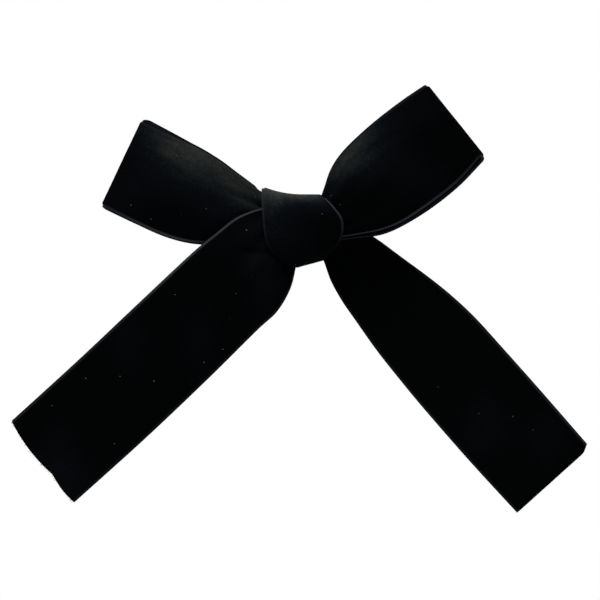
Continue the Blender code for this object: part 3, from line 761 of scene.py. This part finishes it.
def cut_threads(name, edge, direction, count, reach, material):
    """Loose warp ends along a cut: thin tapered spikes, each a fan of three sides drawn out to a point.

    A spike starts on the cut line and leans a little to the side; lengths follow a fixed random draw.
    """
    draw = np.random.default_rng(7)
    place = np.sort(draw.uniform(0.03, 0.97, count))
    position = place * (len(edge) - 1)
    low = np.floor(position).astype(int)
    root = edge[low] + (edge[low + 1] - edge[low]) * (position - low)[:, None]
    along = direction[low]
    side = edge[-1] - edge[0]
    side = side / np.linalg.norm(side)
    out = np.array([0.0, 1.0, 0.0])
    lean = draw.normal(0.0, 0.35, (count, 1)) * side
    lean = lean + draw.normal(0.0, 0.2, (count, 1)) * out
    length = reach * draw.uniform(0.3, 1.0, (count, 1))
    heading = along + lean
    heading = heading / np.linalg.norm(heading, axis=1, keepdims=True)
    base = root - heading * SPIKE_ROOT
    corners = [base + side * SPIKE_HALF,
               base - side * SPIKE_HALF * 0.5 + out * SPIKE_HALF,
               base - side * SPIKE_HALF * 0.5 - out * SPIKE_HALF,
               base + heading * (length + SPIKE_ROOT)]
    points = np.stack(corners, axis=1).reshape(-1, 3)
    first = 4 * np.arange(count)[:, None, None]
    faces = (first + np.array([(0, 1, 3), (1, 2, 3), (2, 0, 3), (2, 1, 0)])[None]).reshape(-1, 3)
    return make_piece(name, points, faces, material)


# Clip, glue and thread.

def tube_along(name, path, radius, sides, upright, material, twist=0.0):
    """A round tube about a path: circles in the plane of each point's two side directions.

    The side directions come from the cross products of the path's tangent with an upright direction.
    twist, in turns per millimetre, swells the circle into two plies that wind about each other.
    """
    tangent = np.gradient(path, axis=0)
    tangent /= np.linalg.norm(tangent, axis=1, keepdims=True)
    first = np.cross(np.array(upright), tangent)
    first /= np.linalg.norm(first, axis=1, keepdims=True)
    second = np.cross(tangent, first)
    length = np.concatenate(([0.0], np.cumsum(np.linalg.norm(np.diff(path, axis=0), axis=1))))
    angle = 2.0 * math.pi * np.arange(sides) / sides
    plies = PLY_SWELL if twist else 0.0
    turned = 2.0 * angle[None, :] - 2.0 * math.pi * twist * length[:, None]
    swell = radius * (1.0 - plies + plies * np.cos(turned))
    circle = (np.cos(angle)[None, :, None] * first[:, None]
              + np.sin(angle)[None, :, None] * second[:, None])
    rings = path[:, None] + swell[:, :, None] * circle
    points = np.vstack((rings.reshape(-1, 3), path[:1], path[-1:]))
    faces = wall_faces(len(path), sides).tolist() + fan_caps(len(path), sides)
    return make_piece(name, points, faces, material)


def spring(material):
    """The torsion spring: a helix about the pin with a straight leg along each press lever."""
    lower, upper = math.radians(LOWER_LEVER_ANGLE), math.radians(TOP_LEVER_ANGLE)
    angle = np.linspace(math.pi / 2.0 + lower, 1.5 * math.pi - upper + 2.0 * math.pi * COIL_TURNS, 200)
    height = np.linspace(COIL_HALF_WIDTH, -COIL_HALF_WIDTH, len(angle))
    coil = np.column_stack((COIL_RADIUS * np.cos(angle), COIL_RADIUS * np.sin(angle), height))
    reach = np.linspace(SPRING_LEG, SPRING_LEG_START, 14)[:, None]
    first = coil[0] + reach * np.array([math.cos(lower), math.sin(lower), 0.0])
    last = coil[-1] + reach[::-1] * np.array([math.cos(upper), -math.sin(upper), 0.0])
    path = np.vstack((first, coil, last)) + PIN_CENTRE
    return tube_along("torsion_spring", path, SPRING_WIRE_RADIUS, 16, (0.0, 0.0, 1.0), material)


def binding_thread(material):
    """Turns of two-ply thread round the waist: a squared circle of the sixth power in Y and Z."""
    angle = np.linspace(0.0, 2.0 * math.pi * THREAD_TURNS, 260)
    reach = (np.abs(np.cos(angle)) ** 6 + np.abs(np.sin(angle)) ** 6) ** (-1.0 / 6.0)
    path = np.column_stack((np.linspace(-THREAD_HALF_SPREAD, THREAD_HALF_SPREAD, len(angle)),
                            WAIST_MIDDLE_Y + THREAD_HALF_DEPTH * reach * np.cos(angle),
                            THREAD_HALF_HEIGHT * reach * np.sin(angle)))
    return tube_along("binding_thread", path, THREAD_RADIUS, 12, (1.0, 0.0, 0.0), material,
                      twist=THREAD_TWIST)


def rivet(material):
    """The hinge pin: a profile of radius against height turned about Z, with domed heads."""
    half = (PIN_HIGH - PIN_LOW)[2] / 2.0 / MM
    dome = np.linspace(0.0, math.pi / 2.0, 7)[1:]
    dome_radius = PIN_HEAD_RADIUS * np.sin(dome)
    dome_height = half - PIN_HEAD_HEIGHT * (1.0 - np.cos(dome))
    shoulder = half - PIN_HEAD_HEIGHT
    radius = np.concatenate((dome_radius, [PIN_RADIUS, PIN_RADIUS], dome_radius[::-1]))
    height = np.concatenate((-dome_height, [-shoulder, shoulder], dome_height[::-1]))
    sides = 48
    angle = 2.0 * math.pi * np.arange(sides) / sides
    rings = np.stack((radius[:, None] * np.cos(angle), radius[:, None] * np.sin(angle),
                      np.repeat(height[:, None], sides, axis=1)), axis=-1)
    poles = np.array([(0.0, 0.0, -half), (0.0, 0.0, half)])
    points = np.vstack((rings.reshape(-1, 3), poles)) + PIN_CENTRE
    faces = wall_faces(len(radius), sides).tolist() + fan_caps(len(radius), sides)
    return make_piece("hinge_rivet", points, faces, material)


def lining(material):
    """A grosgrain strip on the clip's flat arm, whose ribs are a sine along X.

    It follows the arm's bend past the pin, and its ends narrow by a parabola.
    """
    low, high = (np.array(corner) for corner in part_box("clip_lining"))
    start, end = ((low - KNOT_CENTRE) / MM)[0], ((high - KNOT_CENTRE) / MM)[0]
    x = np.linspace(start, end, 420)
    slope = math.tan(math.radians(TOP_LEVER_ANGLE))
    fall = -slope * np.maximum(x - PIN_CENTRE[0] - ARM_BEND, 0.0)
    from_end = np.clip(np.minimum(x - start, end - x) / LINING_CORNER, 0.0, 1.0)
    half = LINING_HALF_WIDTH * (1.0 - 0.35 * (1.0 - from_end) ** 2)
    across = np.linspace(-1.0, 1.0, 13)
    rib = LINING_RIB_HEIGHT * np.sin(2.0 * math.pi * x / LINING_RIB)[:, None]
    rib = rib * (1.0 - np.abs(across) ** 8)[None, :]
    near = LINING_Y + fall[:, None] - rib
    far = LINING_Y + LINING_THICKNESS + fall[:, None] + rib
    z = CLIP_Z + half[:, None] * across[None, :]
    grid_x = np.repeat(x[:, None], len(across), axis=1)
    front = np.stack((grid_x, near, z), axis=-1)
    rear = np.stack((grid_x, far, z), axis=-1)
    rings = np.concatenate((front, rear[:, ::-1]), axis=1)
    faces = np.vstack((wall_faces(len(x), 2 * len(across)), strip_caps(len(x), len(across))))
    return make_piece("grosgrain_lining", rings.reshape(-1, 3), faces, material)


def glue(material):
    """The squeezed glue: a rounded pad whose outline swells and draws in round its rim.

    Its radius is an ellipse times one plus small sines of the angle; the rim bulges between its faces.
    """
    low, high = (GLUE_LOW - KNOT_CENTRE) / MM, (GLUE_HIGH - KNOT_CENTRE) / MM
    middle, half = (low + high) / 2.0, (high - low) / 2.0
    sides, layers = 96, 15
    angle = 2.0 * math.pi * np.arange(sides) / sides
    rim = 1.0 + 0.05 * np.sin(3.0 * angle + 0.6) + 0.03 * np.sin(7.0 * angle)
    rim = rim + 0.02 * np.sin(11.0 * angle + 2.0)
    lift = np.linspace(-1.0, 1.0, layers)
    bulge = 0.55 + 0.45 * np.sqrt(1.0 - lift ** 2)
    shape = bulge[:, None] * rim[None, :]
    rings = np.stack((middle[0] + half[0] * shape * np.cos(angle),
                      np.repeat((middle[1] + half[1] * lift)[:, None], sides, axis=1),
                      middle[2] + half[2] * shape * np.sin(angle)), axis=-1)
    poles = np.array([middle - (0.0, half[1], 0.0), middle + (0.0, half[1], 0.0)])
    points = np.vstack((rings.reshape(-1, 3), poles))
    faces = wall_faces(layers, sides).tolist() + fan_caps(layers, sides)
    return make_piece("glue_bead", points, faces, material)


def eased_edges(node, name, material):
    """A copy of a stamped arm with its corners slightly rounded, as tumbling leaves them."""
    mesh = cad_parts[node].data.copy()
    mesh.name = name
    work = bmesh.new()
    work.from_mesh(mesh)
    bmesh.ops.remove_doubles(work, verts=work.verts, dist=0.002 * MM)
    bmesh.ops.dissolve_limit(work, angle_limit=math.radians(0.5), verts=work.verts, edges=work.edges)
    work.to_mesh(mesh)
    work.free()
    mesh.materials.clear()
    mesh.materials.append(material)
    mesh.shade_smooth()
    mesh.set_sharp_from_angle(angle=math.radians(35.0))
    piece = bpy.data.objects.new(name, mesh)
    bpy.context.collection.objects.link(piece)
    corners = piece.modifiers.new("tumbled_corners", "BEVEL")
    corners.width = TUMBLED_RADIUS * MM
    corners.segments = 2
    corners.limit_method = "ANGLE"
    corners.angle_limit = math.radians(35.0)
    corners.harden_normals = True
    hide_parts(node)
    return piece


# Assembly.

velvet = black_velvet()
thread = black_thread()
nickel = nickel_plate()
wire = spring_wire()

# Each piece's base pile tone is partly its own and partly painted shade.
left_loop, left_loop_length = ribbon_loop(
    "left_velvet_loop", LEFT_LOOP_FRONT, LEFT_LOOP_BACK, outward=(-0.91, 0.41), material=velvet,
    tone_and_shade_base=0.03, painted_sheen=LEFT_LOOP_PAINTED_SHEEN, edge_painted_light=LEFT_LOOP_EDGE_PAINTED_LIGHT, seed=0.0)
right_loop, right_loop_length = ribbon_loop(
    "right_velvet_loop", RIGHT_LOOP_FRONT, RIGHT_LOOP_BACK, outward=(0.78, 0.62), material=velvet,
    tone_and_shade_base=-0.06, painted_sheen=RIGHT_LOOP_PAINTED_SHEEN, edge_painted_light=RIGHT_LOOP_EDGE_PAINTED_LIGHT, seed=1.7)
left_tail, left_tail_length, left_cut, left_heading = ribbon_tail(
    "left_velvet_tail", LEFT_TAIL, velvet, tone_and_shade_base=0.0, painted_sheen=LEFT_TAIL_PAINTED_SHEEN,
    edge_painted_light=LEFT_TAIL_EDGE_PAINTED_LIGHT, seed=0.6, cut=scalloped_cut, crease_ends=LEFT_TAIL_CREASE)
right_tail, right_tail_length, right_cut, right_heading = ribbon_tail(
    "right_velvet_tail", RIGHT_TAIL, velvet, tone_and_shade_base=-0.08, painted_sheen=RIGHT_TAIL_PAINTED_SHEEN, edge_painted_light=(),
    seed=2.9, cut=skewed_cut)
knot = knot_band(velvet)
left_ends = cut_threads("left_cut_threads", left_cut, left_heading, count=110, reach=0.9,
                        material=thread)
right_ends = cut_threads("right_cut_threads", right_cut, right_heading, count=60, reach=0.35,
                         material=thread)
binding = binding_thread(thread)
bead = glue(milky_glue())
strip = lining(black_grosgrain())
pin = rivet(wire)
coil = spring(wire)
top_arm = eased_edges("clip_top_arm", "flat_clip_arm", nickel)
bottom_arm = eased_edges("clip_bottom_arm", "toothed_clip_arm", nickel)

for piece, node in ((left_loop, "left_loop"), (right_loop, "right_loop"), (left_tail, "left_tail"),
                    (right_tail, "right_tail"), (knot, "knot_band"), (binding, "waist_thread"),
                    (bead, "glue_pad"), (strip, "clip_lining"), (pin, "hinge_pin"), (coil, "clip_spring")):
    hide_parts(node)
for piece in (left_loop, right_loop, knot, binding, bead, strip, pin, top_arm):
    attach(piece, "bow")
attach(bottom_arm, "jaw")

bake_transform(left_tail)
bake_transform(right_tail)
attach(left_ends, "left_tail_body")
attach(right_ends, "right_tail_body")
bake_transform(coil)


# Floor, light and camera.

def hang_light(name, kind, energy, colour, place, direction, **settings):
    """A light of a kind at a place, shining in a direction."""
    lamp = bpy.data.lights.new(name, kind)
    lamp.energy = energy
    lamp.color = colour
    for setting, value in settings.items():
        setattr(lamp, setting, value)
    holder = bpy.data.objects.new(name, lamp)
    bpy.context.collection.objects.link(holder)
    holder.location = place
    holder.rotation_euler = Vector(direction).to_track_quat("-Z", "Y").to_euler()
    return holder


low, high = frame_box
centre = (low + high) / 2.0
floor_mesh = bpy.data.meshes.new("floor")
ring = np.linspace(0.0, 2.0 * math.pi, 64, endpoint=False)
floor_points = np.column_stack((centre.x + FLOOR_RADIUS * np.cos(ring),
                                centre.y + FLOOR_RADIUS * np.sin(ring),
                                np.full(len(ring), low.z - FLOOR_DROP)))
floor_mesh.from_pydata(floor_points.tolist(), [], [tuple(range(len(ring)))])
floor_mesh.materials.append(paper_white())
floor = bpy.data.objects.new("floor", floor_mesh)
bpy.context.collection.objects.link(floor)

key = hang_light("key", "SUN", KEY_STRENGTH, (1.0, 0.99, 0.97), (0.0, 0.0, 0.0), (0.15, 0.28, -0.9),
                 angle=math.radians(KEY_ANGLE))
# The key gives no reflections: mirrored in the nickel it would burn out seen from above.
key.visible_glossy = False
for name, place, size, power, colour in (("top_fill", (0.3, 0.15, 0.9), 0.6, 5.0, (0.93, 0.97, 1.0)),
                                         ("rear_fill", (0.1, 0.9, 0.4), 0.8, 6.0, (1.0, 1.0, 1.0))):
    hang_light(name, "AREA", power, colour, place, centre - Vector(place), size=size)

world = bpy.data.worlds.new("white_room")
world.use_nodes = True
sky = world.node_tree
# The world is seen as white and lights the bow with only a small share of that.
seen = add(sky, "ShaderNodeLightPath").outputs["Is Camera Ray"]
sky.nodes["Background"].inputs["Color"].default_value = (1.0, 1.0, 1.0, 1.0)
feed(sky, sky.nodes["Background"], Strength=ranged(sky, seen, (0.0, 1.0), (WORLD_LIGHT, 1.0)))
bpy.context.scene.world = world
bpy.context.scene.view_settings.view_transform = "Standard"

lens = bpy.data.cameras.new("camera")
lens.lens = LENS
lens.sensor_width = SENSOR
shown_width = (high.x - low.x) * FRAME_MARGIN
distance = shown_width * LENS / SENSOR
camera = bpy.data.objects.new("camera", lens)
bpy.context.collection.objects.link(camera)
# The camera faces the bow squarely, its distance counted from 6 mm in front of the flat back.
camera.location = (centre.x, KNOT_CENTRE[1] - 6.0 * MM - distance, centre.z - 0.3 * MM)
camera.rotation_euler = (math.pi / 2.0, 0.0, 0.0)
bpy.context.scene.camera = camera
